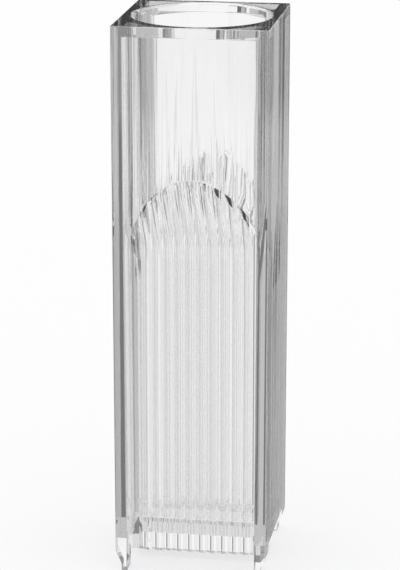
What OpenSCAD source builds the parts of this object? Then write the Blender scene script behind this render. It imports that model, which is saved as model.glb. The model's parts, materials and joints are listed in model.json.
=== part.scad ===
// Semi-micro cuvette, moulded in one piece from clear polystyrene.
// Millimetres. Z is up, X is the light path, Y runs from ribbed side to ribbed side.
// The feet stand on Z = 0 and the mouth is centred on the Z axis.

/* [Overall size] */
// Width of the square rim, both ways
body_w = 12.5; // [9:0.1:30]
// Height from the feet to the mouth
body_h = 45; // [30:0.5:90]
// How much each outer face leans in at the feet
draft = 0.08; // [0:0.01:0.3]

/* [Mouth] */
// Land between the bore and the rim's edge
rim_land = 0.7; // [0.5:0.05:2]
// Radius that rounds the mouth's inner edge
lip_r = 0.2; // [0.05:0.05:0.4]
// Height of the square rim
rim_h = 0.85; // [0.4:0.05:3]
// Gap from the tube's outside to the rim's face
tube_step = 0.06; // [0.02:0.01:0.4]

/* [Window plates] */
// Thickness of a plate at the rim
plate_top_t = 0.9; // [0.7:0.01:2.5]
// Thickness of a plate at the feet
plate_foot_t = 0.95; // [0.7:0.01:2.5]
// Radius of the fillet between a plate and the round tube
fillet_r = 0.3; // [0.1:0.05:0.6]
// Thickness of the window in front of the chamber
window_t = 1.25; // [0.8:0.05:3]

/* [Chamber] */
// Width of the chamber across the light path
chamber_w = 4.3; // [2:0.1:6]
// Height of the chamber's floor above the feet
floor_z = 3.3; // [2:0.1:15]
// Thickness of the floor
floor_t = 1.3; // [0.8:0.05:5]
// How much each chamber wall leans in at the floor
chamber_draft = 0.05; // [0:0.01:0.2]
// Height where the windows start to open out to the round mouth
neck_z = 23.1; // [12:0.1:60]
// Step in from the chamber's wall to the hollow under the floor
hollow_side = 0.1; // [0:0.05:0.5]
// Step in from the window to the hollow under the floor
hollow_end = 0.4; // [0.1:0.05:2]
// Wall between the chamber and the ribs' roots
wall_t = 0.62; // [0.5:0.01:1.5]

/* [Shoulder] */
// Height where the ribbed wall starts to lean out
shoulder_z = 25.6; // [12:0.1:60]
// Lean of the shoulder from upright, in degrees
shoulder_lean = 30; // [20:1:45]
// Radius of the bend between the wall and the shoulder
bend_r = 4.2; // [1:0.1:8]
// How much the round wall closes in along the shoulder
neck_step = 0.03; // [0.01:0.01:0.3]

/* [Ribs] */
// Distance from rib to rib
rib_pitch = 0.915; // [0.5:0.005:2]
// How far a rib stands out
rib_h = 0.2; // [0.05:0.01:0.4]
// Flat left between two ribs
rib_gap = 0.12; // [0.04:0.01:0.5]
// Height of the ribbed skirt's lower edge above the feet
skirt_z = 0.65; // [0:0.05:3]

/* [Feet] */
// Height of the arch between two feet of one plate
arch_h = 2.3; // [0.5:0.1:5]
// Length of a foot along the plate
foot_len = 1.4; // [0.8:0.1:5]
// Height of the bevel on a foot's outside
bevel_h = 1.1; // [0.3:0.1:2]
// Depth of the bevel on a foot's outside
bevel_w = 0.5; // [0.1:0.05:0.6]

/* [Hidden] */
eps = 0.01;
clear = [0.93, 0.95, 0.96, 0.35];
small_fn = 48;
bend_fn = 120;
round_fn = 180;
weld = 0.2;
lap = 0.1;
lap_step = 0.01;
half_w = body_w / 2;
bore_r = half_w - rim_land;
tube_r = half_w - tube_step;
path_half = half_w - window_t;
chamber_half = chamber_w / 2;
root_y = chamber_half + wall_t;
bend_y = root_y + bend_r;
inner_bend_r = bend_r + wall_t;
inner_slope = (bore_r - bend_y + inner_bend_r * cos(shoulder_lean)) / sin(shoulder_lean);
round_z = shoulder_z + inner_bend_r * sin(shoulder_lean) + inner_slope * cos(shoulder_lean) + lap;
draft_angle = atan(chamber_draft / (shoulder_z - floor_z));
rib_w = rib_pitch - rib_gap;
rib_r = (rib_w * rib_w / 4 + rib_h * rib_h) / (2 * rib_h);
arch_run = arch_h / 3;
fillet_x = half_w - plate_top_t - fillet_r + lap_step;
fillet_y = sqrt(pow(tube_r + fillet_r - lap_step, 2) - fillet_x * fillet_x);
rib_n = floor((2 * path_half - rib_gap) / rib_pitch);

// A side outline drawn in X and Z, run through the part along Y
module along_y() {
    rotate([90, 0, 0])
        translate([0, 0, -body_w])
            linear_extrude(2 * body_w)
                children();
}

// A side outline drawn in Y and Z, run through the part along X
module along_x() {
    rotate([90, 0, 90])
        translate([0, 0, -body_w])
            linear_extrude(2 * body_w)
                children();
}

// Outline of a block that widens from the bottom to the top
module taper(low, high, z0, z1) {
    polygon([[-low, z0], [low, z0], [high, z1], [-high, z1]]);
}

// The square outer block, leaning in towards the feet
module outer_block() {
    intersection() {
        along_y() taper(half_w - draft, half_w, 0, body_h);
        along_x() taper(half_w - draft, half_w, 0, body_h);
    }
}

// Space between the two plates
module plate_gap(extra) {
    along_y()
        taper(half_w - draft - plate_foot_t + extra, half_w - plate_top_t + extra, -eps, body_h + eps);
}

// Air in front of a ribbed wall, in plan. X runs from the bend's centre out to the ribs' roots.
module rib_air_profile(reach, root) {
    difference() {
        translate([-reach, -body_w])
            square([reach + root, 2 * body_w]);
        for (i = [0 : rib_n - 1])
            translate([root - rib_h + rib_r, (i - (rib_n - 1) / 2) * rib_pitch])
                circle(r = rib_r, $fn = small_fn);
    }
}

// Air in front of one ribbed wall: upright, round the bend, then along the leaning shoulder
module rib_air() {
    translate([0, -bend_y, -eps])
        linear_extrude(shoulder_z + eps)
            rotate(90)
                rib_air_profile(body_w, bend_r);
    translate([0, -bend_y, shoulder_z])
        rotate([90, 0, 90])
            rotate_extrude(angle = shoulder_lean, $fn = bend_fn)
                rib_air_profile(0, bend_r);
    translate([0, -bend_y, shoulder_z])
        rotate([shoulder_lean, 0, 0])
            translate([0, 0, -lap])
                linear_extrude(body_h)
                    rotate(90)
                        rib_air_profile(body_w, bend_r - lap_step);
}

// Two flat plates with an arch between the feet and a bevel outside
module window_plates() {
    difference() {
        outer_block();
        plate_gap(0);
        along_x()
            polygon([
                [-(half_w - draft - foot_len), -eps],
                [half_w - draft - foot_len, -eps],
                [half_w - draft - foot_len - arch_run, arch_h],
                [-(half_w - draft - foot_len - arch_run), arch_h]
            ]);
        for (side = [-1, 1])
            along_y()
                polygon([
                    [side * body_w, -eps],
                    [side * (half_w - draft - bevel_w), -eps],
                    [side * (half_w - draft - bevel_w), bevel_h - bevel_w],
                    [side * (half_w - draft + eps), 2 * bevel_h - bevel_w],
                    [side * body_w, 2 * bevel_h - bevel_w]
                ]);
    }
}

// Square rim around the mouth
module rim() {
    intersection() {
        outer_block();
        translate([-half_w, -half_w, body_h - rim_h])
            cube([body_w, body_w, body_h]);
    }
}

// Plan of the round tube, with a fillet at each corner where it meets a plate
module tube_profile() {
    circle(r = tube_r, $fn = round_fn);
    for (side = [-1, 1])
        difference() {
            polygon([
                [side * fillet_x / 2, -fillet_y / 2],
                [side * fillet_x, -fillet_y],
                [side * half_w, -fillet_y],
                [side * half_w, fillet_y],
                [side * fillet_x, fillet_y],
                [side * fillet_x / 2, fillet_y / 2]
            ]);
            for (y = [-fillet_y, fillet_y])
                translate([side * fillet_x, y])
                    circle(r = fillet_r, $fn = small_fn);
        }
}

// Round tube above, curving in to the two ribbed walls below
module tube_and_walls() {
    difference() {
        intersection() {
            translate([0, 0, skirt_z])
                linear_extrude(body_h - skirt_z - rim_h / 2)
                    tube_profile();
            plate_gap(weld);
        }
        rib_air();
        mirror([0, 1, 0]) rib_air();
    }
}

// Side outline of one ribbed wall and its shoulder, with all that lies outside them
module wall_side() {
    translate([-bend_y, shoulder_z]) {
        circle(r = inner_bend_r, $fn = round_fn);
        rotate(shoulder_lean)
            translate([-body_h, 0])
                square([body_h + inner_bend_r, body_h]);
        rotate(draft_angle)
            translate([-body_h, -body_h])
                square([body_h + inner_bend_r, body_h]);
    }
}

// Inside of the chamber and its neck, seen along the light path
module inside_along_x() {
    along_x()
        difference() {
            translate([-body_w, floor_z])
                square([2 * body_w, body_h]);
            wall_side();
            mirror([1, 0]) wall_side();
        }
}

// The same inside, seen across the light path: flat windows, then the slope out to the mouth
module inside_along_y() {
    along_y()
        polygon([
            [-(path_half - chamber_draft), floor_z],
            [path_half - chamber_draft, floor_z],
            [path_half, neck_z],
            [bore_r + weld, round_z],
            [half_w, round_z],
            [half_w, floor_z + body_h],
            [-half_w, floor_z + body_h],
            [-half_w, round_z],
            [-(bore_r + weld), round_z],
            [-path_half, neck_z]
        ]);
}

// Round mouth with a rounded edge, closing in a little down to the neck and clear of the chamber below it
module bore() {
    rotate_extrude($fn = round_fn) {
        polygon([
            [0, floor_z - eps],
            [body_w, floor_z - eps],
            [body_w, neck_z],
            [bore_r - neck_step, neck_z],
            [bore_r, round_z],
            [bore_r, body_h + eps],
            [0, body_h + eps]
        ]);
        difference() {
            translate([bore_r - lip_r, body_h - lip_r])
                square([2 * lip_r, lip_r + eps]);
            translate([bore_r + lip_r, body_h - lip_r])
                circle(r = lip_r, $fn = small_fn);
        }
    }
}

// Narrow chamber between the windows, widening along the shoulders to the round mouth
module inside() {
    intersection() {
        inside_along_x();
        inside_along_y();
        bore();
    }
}

// Space under the floor, inside the skirt
module under_floor() {
    end = path_half - hollow_end;
    side = chamber_half - hollow_side;
    translate([-end, -side, -eps])
        cube([2 * end, 2 * side, floor_z - floor_t + eps]);
}

module cuvette() {
    color(clear)
        difference() {
            union() {
                window_plates();
                rim();
                tube_and_walls();
            }
            inside();
            under_floor();
        }
}

cuvette();
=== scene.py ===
import json
from math import cos, radians, sin, tan

import bpy
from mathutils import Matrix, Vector

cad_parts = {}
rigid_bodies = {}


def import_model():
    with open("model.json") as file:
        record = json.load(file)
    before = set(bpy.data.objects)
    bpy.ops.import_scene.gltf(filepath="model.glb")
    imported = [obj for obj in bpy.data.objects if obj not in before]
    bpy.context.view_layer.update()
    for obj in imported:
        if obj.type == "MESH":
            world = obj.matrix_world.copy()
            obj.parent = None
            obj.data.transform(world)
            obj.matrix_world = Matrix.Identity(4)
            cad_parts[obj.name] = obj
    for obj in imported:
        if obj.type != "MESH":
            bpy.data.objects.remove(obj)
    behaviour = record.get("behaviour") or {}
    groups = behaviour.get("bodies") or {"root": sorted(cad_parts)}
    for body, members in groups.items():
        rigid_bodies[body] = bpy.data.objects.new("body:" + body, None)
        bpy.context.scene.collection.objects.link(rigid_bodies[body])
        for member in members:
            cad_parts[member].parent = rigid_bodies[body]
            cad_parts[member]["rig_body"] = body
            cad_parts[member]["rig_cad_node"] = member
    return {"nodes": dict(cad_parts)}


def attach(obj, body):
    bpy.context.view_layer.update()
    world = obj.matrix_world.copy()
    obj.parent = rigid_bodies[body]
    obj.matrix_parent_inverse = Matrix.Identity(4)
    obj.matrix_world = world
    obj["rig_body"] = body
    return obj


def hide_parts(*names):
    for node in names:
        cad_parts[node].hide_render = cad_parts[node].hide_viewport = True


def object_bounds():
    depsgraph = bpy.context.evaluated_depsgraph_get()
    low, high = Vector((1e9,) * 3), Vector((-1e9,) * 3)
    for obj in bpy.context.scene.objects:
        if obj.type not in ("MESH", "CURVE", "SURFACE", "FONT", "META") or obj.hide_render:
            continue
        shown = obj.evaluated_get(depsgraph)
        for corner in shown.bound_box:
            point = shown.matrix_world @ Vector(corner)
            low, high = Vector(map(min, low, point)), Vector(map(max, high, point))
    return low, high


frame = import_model()
cadLow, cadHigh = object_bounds()
print("frame loaded")


def linear(hexColour):
    parts = [int(hexColour[i:i + 2], 16) / 255 for i in (1, 3, 5)]
    return tuple(c / 12.92 if c <= 0.04045 else ((c + 0.055) / 1.055) ** 2.4 for c in parts) + (1,)


def addNode(tree, kind, settings=None, links=None):
    node = tree.nodes.new(kind)
    for name, value in (settings or {}).items():
        if isinstance(name, int) or name in node.inputs:
            node.inputs[name].default_value = value
        else:
            setattr(node, name, value)
    for name, socket in (links or {}).items():
        tree.links.new(socket, node.inputs[name])
    return node


def newMaterial(name):
    material = bpy.data.materials.new(name)
    material.use_nodes = True
    material.node_tree.nodes.clear()
    return material, material.node_tree


# camera, looking down a little from the right
view = {
    "place": (0.03401, -0.21284, 0.08295),
    "target": (-0.00018, 0.00004, 0.02273),
    "lens": 173.66,  # mm, on the sensor's long side
    "sensor": 36.0,
    "nearest": 0.01,
    "farthest": 20,
}

bpy.ops.object.camera_add(location=view["place"])
camera = bpy.context.object
camera.name = "camera"
lookAlong = Vector(view["target"]) - Vector(view["place"])
camera.rotation_euler = lookAlong.to_track_quat("-Z", "Y").to_euler()
camera.data.sensor_width = view["sensor"]
camera.data.lens = view["lens"]
camera.data.clip_start = view["nearest"]
camera.data.clip_end = view["farthest"]
bpy.context.scene.camera = camera
print("camera placed")

# one moulded body, merged from the frame's loose triangles, with its long outer edges just broken
body = {
    "mergeWithin": 0.000001,
    "flatWithin": 0.3,  # degrees
    "edgeRadius": 0.00006,
    "edgeSteps": 3,
    "longEdge": 0.01,  # anything shorter keeps its edge
    "faceWithin": 0.0001,  # an edge this near the outer faces lies on them
    "plateInside": 0.005,  # the plates lie further out than this
    "smoothBelow": 35,
}

cadNode = frame["nodes"]["cuvette"]
bpy.ops.object.select_all(action="DESELECT")
cadNode.select_set(True)
bpy.context.view_layer.objects.active = cadNode
bpy.ops.object.duplicate()
cuvette = bpy.context.object
cuvette.name = "mouldedBody"
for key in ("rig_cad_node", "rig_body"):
    if key in cuvette:
        del cuvette[key]
bpy.ops.object.mode_set(mode="EDIT")
bpy.ops.mesh.customdata_custom_splitnormals_clear()
bpy.ops.mesh.select_all(action="SELECT")
bpy.ops.mesh.remove_doubles(threshold=body["mergeWithin"])
bpy.ops.mesh.dissolve_limited(angle_limit=radians(body["flatWithin"]))
bpy.ops.mesh.select_all(action="DESELECT")
bpy.ops.object.mode_set(mode="OBJECT")
mesh = cuvette.data
print("body merged", len(mesh.polygons), "faces")

halfWide, halfDeep, tall = cadHigh
for edge in mesh.edges:
    ends = [mesh.vertices[i].co for i in edge.vertices]
    onSide = min(abs(end.x) for end in ends) > halfWide - body["faceWithin"]
    onFront = min(abs(end.y) for end in ends) > halfDeep - body["faceWithin"]
    onTop = min(end.z for end in ends) > tall - body["faceWithin"]
    isLong = (ends[0] - ends[1]).length > body["longEdge"]
    onPlate = onFront and min(abs(end.x) for end in ends) > body["plateInside"]
    edge.select = isLong and (onPlate or onTop and (onSide or onFront))
bpy.ops.object.mode_set(mode="EDIT")
bpy.ops.mesh.bevel(offset=body["edgeRadius"], segments=body["edgeSteps"], affect="EDGES")
bpy.ops.object.mode_set(mode="OBJECT")
bpy.ops.object.shade_smooth_by_angle(angle=radians(body["smoothBelow"]))
bpy.ops.object.modifier_add(type="WEIGHTED_NORMAL")  # flat faces bend light as flat ones
weighted = cuvette.modifiers[-1]
weighted.keep_sharp = True
bpy.ops.object.modifier_apply(modifier=weighted.name)
print("edges broken", len(mesh.polygons), "faces")

# the ribbed skin, which the tool cutter left a shade less polished than the windows
ribs = {
    "bend": (0.00697, 0.0256),  # centre of the bend between wall and shoulder, in depth and height
    "lean": 30,
    "reach": (0.0039, 0.00425),  # from the bend's centre to the ribs' tips and roots
}

ribbed = mesh.attributes.new("ribbed", "FLOAT", "FACE")
lean = radians(ribs["lean"])
leanDirection = Vector((cos(lean), sin(lean)))
for face in mesh.polygons:
    spot = Vector((ribs["bend"][0] - abs(face.center.y), face.center.z - ribs["bend"][1]))
    if spot.y < 0:  # upright wall
        reach = spot.x
    elif spot.y < spot.x * tan(lean):  # bend
        reach = spot.length
    else:  # shoulder
        reach = spot.dot(leanDirection)
    ribbed.data[face.index].value = float(ribs["reach"][0] < reach < ribs["reach"][1])
print("ribs marked", sum(mark.value > 0 for mark in ribbed.data))

# clear polystyrene, injection moulded: glassy and colourless, grey where light runs far inside it
plastic = {
    "ior": 1.59,
    "depthPerMetre": 53.0,
    "depthTint": "#000000",
    "drawLine": 0.00025,  # across one line of the tool's polish, drawn coarser than the real 0.02 mm
    "drawLength": 0.009,
    "drawDetail": 2.0,
    "drawHeight": 0.0000003,
    "sink": 0.0035,  # across one shallow wave where the plastic shrank
    "sinkDetail": 1.0,
    "sinkHeight": 0.000004,
    "ribRoughness": 0.05,
    "haze": (0.45, 0.75),  # part of the polish lines' range over which they grow hazy
    "hazeRoughness": 0.01,
    "scuffRoughness": 0.22,  # the ends of the feet, rubbed by racks
    "scuffTop": 0.0012,
}

material, tree = newMaterial("clearPolystyreneMoulded")
place = addNode(tree, "ShaderNodeTexCoord")
alongTool = addNode(tree, "ShaderNodeMapping", {
    "Scale": (1 / plastic["drawLine"], 1 / plastic["drawLine"], 1 / plastic["drawLength"]),
}, {"Vector": place.outputs["Object"]})
drawLines = addNode(tree, "ShaderNodeTexNoise", {
    "Scale": 1.0, "Detail": plastic["drawDetail"],
}, {"Vector": alongTool.outputs["Vector"]})
sinks = addNode(tree, "ShaderNodeTexNoise", {
    "Scale": 1 / plastic["sink"], "Detail": plastic["sinkDetail"],
}, {"Vector": place.outputs["Object"]})
waves = addNode(tree, "ShaderNodeBump", {
    "Strength": 1.0, "Distance": plastic["sinkHeight"],
}, {"Height": sinks.outputs["Fac"]})
skin = addNode(tree, "ShaderNodeBump", {
    "Strength": 1.0, "Distance": plastic["drawHeight"],
}, {"Height": drawLines.outputs["Fac"], "Normal": waves.outputs["Normal"]})
isRibbed = addNode(tree, "ShaderNodeAttribute", {"attribute_name": "ribbed"})
split = addNode(tree, "ShaderNodeSeparateXYZ", links={0: place.outputs["Object"]})
scuffs = addNode(tree, "ShaderNodeMapRange", {
    "From Min": plastic["scuffTop"], "From Max": 0.0,
    "To Min": 0.0, "To Max": plastic["scuffRoughness"],
}, {"Value": split.outputs["Z"]})
haze = addNode(tree, "ShaderNodeMapRange", {
    "From Min": plastic["haze"][0], "From Max": plastic["haze"][1],
    "To Min": 0.0, "To Max": plastic["hazeRoughness"],
}, {"Value": drawLines.outputs["Fac"]})
satin = addNode(tree, "ShaderNodeMath", {
    "operation": "MULTIPLY_ADD", 1: plastic["ribRoughness"],
}, {0: isRibbed.outputs["Fac"], 2: haze.outputs["Result"]})
worn = addNode(tree, "ShaderNodeMath", {"operation": "ADD"},
               {0: satin.outputs[0], 1: scuffs.outputs["Result"]})
shader = addNode(tree, "ShaderNodeBsdfPrincipled", {
    "Base Color": linear("#ffffff"),
    "IOR": plastic["ior"],
    "Transmission Weight": 1.0,
}, {"Roughness": worn.outputs[0], "Normal": skin.outputs["Normal"]})
depth = addNode(tree, "ShaderNodeVolumeAbsorption", {
    "Color": linear(plastic["depthTint"]),
    "Density": plastic["depthPerMetre"],
})
addNode(tree, "ShaderNodeOutputMaterial",
        links={"Surface": shader.outputs["BSDF"], "Volume": depth.outputs["Volume"]})

mesh.materials.clear()
mesh.materials.append(material)
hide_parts("cuvette")
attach(cuvette, "root")
print("body finished")

# white paper under and behind, uncoated: flat white with a soft shadow and no gloss
paper = {
    "size": 4.0,
    "colour": "#fefeff",
    "lift": 0.7,  # share of plain white that the camera sees in place of the lit paper
}

bpy.ops.object.select_all(action="DESELECT")
bpy.ops.mesh.primitive_plane_add(size=paper["size"], location=(0, 0, 0))
floor = bpy.context.object
floor.name = "floor"
floor.visible_glossy = False  # in the plastic, the studio's own boards stand in for the paper
floor.visible_transmission = False
material, tree = newMaterial("whitePaperMatt")
matt = addNode(tree, "ShaderNodeBsdfDiffuse", {"Color": linear(paper["colour"])})
bright = addNode(tree, "ShaderNodeEmission", {"Color": linear(paper["colour"]), "Strength": 1.0})
rays = addNode(tree, "ShaderNodeLightPath")
share = addNode(tree, "ShaderNodeMath", {
    "operation": "MULTIPLY", 1: paper["lift"],
}, {0: rays.outputs["Is Camera Ray"]})
shader = addNode(tree, "ShaderNodeMixShader", links={
    0: share.outputs[0], 1: matt.outputs["BSDF"], 2: bright.outputs["Emission"],
})
addNode(tree, "ShaderNodeOutputMaterial", links={"Surface": shader.outputs["Shader"]})
floor.data.materials.append(material)
print("paper laid")

# soft white studio: even light on matt things, and grey and white boards as clear plastic shows them.
# The boards' edges were given one by one. Most of their levels are a trial fit's result, rounded.
studio = {
    "fill": 1.0,
    "above": 1.0,
    "soften": 1.0,  # degrees that one row of boards takes to become the next
    "rows": [  # top of the row as an elevation, then each board's first bearing and its level
        (-50, [(-180, 1.0)]),
        (-22, [(-180, 0.8), (-30, 1.0), (50, 0.8)]),
        (-14, [(-180, 1.0), (-120, 0.78), (-60, 1.0), (-45, 0.86), (-30, 1.0), (-18, 0.82),
               (-4, 1.0), (0, 0.45), (4, 0.27), (12, 1.0), (45, 0.75), (90, 0.9)]),
        (-12, [(-180, 1.0), (-120, 0.78), (-60, 1.0), (0, 0.45), (4, 0.27), (12, 1.0),
               (45, 0.75), (90, 0.9)]),
        (-5, [(-180, 0.65), (-45, 1.0), (5, 0.12), (7.5, 0.5), (10, 0.3), (12.5, 1.0),
              (15, 0.6), (25, 0.33), (35, 0.2), (45, 0.6)]),
        (3, [(-180, 0.6), (-45, 0.2), (-15, 1.0), (0, 0.15), (45, 0.6)]),
        (12, [(-180, 0.65), (-45, 0.45), (-15, 0.12), (0, 0.95), (15, 0.75), (45, 1.0), (90, 0.6)]),
    ],
    "bounces": 32,  # light crosses many ribs on its way through
    "glossyBounces": 16,
}

world = bpy.data.worlds.new("studio")
bpy.context.scene.world = world
world.use_nodes = True
tree = world.node_tree
tree.nodes.clear()
place = addNode(tree, "ShaderNodeTexCoord")
split = addNode(tree, "ShaderNodeSeparateXYZ", links={0: place.outputs["Generated"]})
bearing = addNode(tree, "ShaderNodeMath", {"operation": "ARCTAN2"},
                  {0: split.outputs["X"], 1: split.outputs["Y"]})
turn = addNode(tree, "ShaderNodeMath", {
    "operation": "MULTIPLY_ADD", 1: 1 / radians(360), 2: 0.5,
}, {0: bearing.outputs[0]})
overhead = addNode(tree, "ShaderNodeRGB")
overhead.outputs[0].default_value = (studio["above"],) * 3 + (1,)
surround = overhead.outputs[0]
for top, boards in reversed(studio["rows"]):
    row = addNode(tree, "ShaderNodeValToRGB", links={"Fac": turn.outputs[0]})
    row.color_ramp.interpolation = "CONSTANT"
    stops = row.color_ramp.elements
    stops.remove(stops[1])
    for degrees, shade in boards:
        stops.new(degrees / 360 + 0.5).color = (shade, shade, shade, 1)
    stops.remove(stops[0])
    rise = addNode(tree, "ShaderNodeMapRange", {
        "interpolation_type": "SMOOTHSTEP",
        "From Min": sin(radians(top - studio["soften"] / 2)),
        "From Max": sin(radians(top + studio["soften"] / 2)),
    }, {"Value": split.outputs["Z"]})
    joined = addNode(tree, "ShaderNodeMix", {"data_type": "RGBA"},
                     {0: rise.outputs[0], 6: row.outputs["Color"], 7: surround})
    surround = joined.outputs[2]
rays = addNode(tree, "ShaderNodeLightPath")
onMatt = addNode(tree, "ShaderNodeMix", {
    "data_type": "RGBA", 7: (studio["fill"],) * 3 + (1,),
}, {0: rays.outputs["Is Diffuse Ray"], 6: surround})
seen = addNode(tree, "ShaderNodeMix", {
    "data_type": "RGBA", 7: linear("#ffffff"),
}, {0: rays.outputs["Is Camera Ray"], 6: onMatt.outputs[2]})
sky = addNode(tree, "ShaderNodeBackground", {"Strength": 1.0}, {"Color": seen.outputs[2]})
addNode(tree, "ShaderNodeOutputWorld", links={"Surface": sky.outputs["Background"]})
print("studio ready")

bpy.context.scene.cycles.max_bounces = studio["bounces"]
bpy.context.scene.cycles.transmission_bounces = studio["bounces"]
bpy.context.scene.cycles.glossy_bounces = studio["glossyBounces"]
bpy.context.scene.view_settings.view_transform = "Standard"
